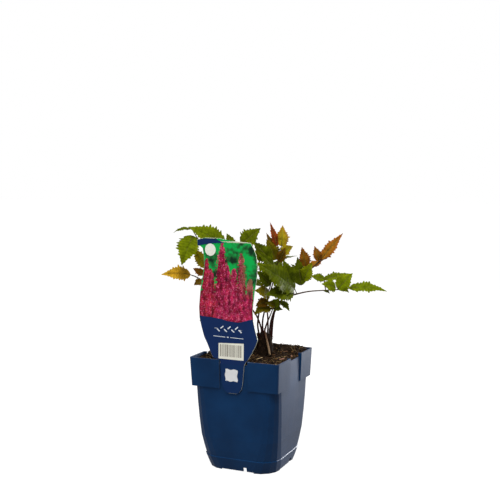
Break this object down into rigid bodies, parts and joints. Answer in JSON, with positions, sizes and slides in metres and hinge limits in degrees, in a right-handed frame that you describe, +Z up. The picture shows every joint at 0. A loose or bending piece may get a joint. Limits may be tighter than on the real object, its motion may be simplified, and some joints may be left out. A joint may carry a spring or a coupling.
{
  "type": "potted astilbe plant",
  "caption": "Young astilbe with toothed compound leaves growing from peat in a square tapered nursery pot with a picture label.",
  "frame": {"origin": "centre of the pot's central foot, on the surface that the pot stands on", "axes": "+Z up out of the pot, -Y out of the side that carries the label, +X to the right of someone who faces the label"},
  "size_m": [0.2425, 0.1344, 0.283],
  "materials": {
    "pot": "moulded navy blue plastic with a soft sheen",
    "soil": "damp dark peat",
    "crown": "rough dark brown crown with old fibres",
    "label": "printed glossy plastic card",
    "leaf_green": "fresh green leaf, slightly shiny",
    "leaf_bronze": "young leaf flushed orange bronze",
    "leaf_dark": "deep green leaf"
  },
  "bodies": {
    "root": {"pot": "pot", "soil": "soil", "crown": "crown", "label": "label", "leaf_far_right": "leaf_green", "leaf_bronze_right": "leaf_bronze", "leaf_tall_centre": "leaf_bronze", "leaf_centre_front": "leaf_green", "leaf_low_centre": "leaf_dark", "leaf_left_green": "leaf_green", "leaf_left_bronze": "leaf_bronze", "leaf_top": "leaf_dark", "leaf_low_left": "leaf_dark", "leaf_back_centre": "leaf_dark", "leaf_back_left": "leaf_green"}
  },
  "joints": []
}
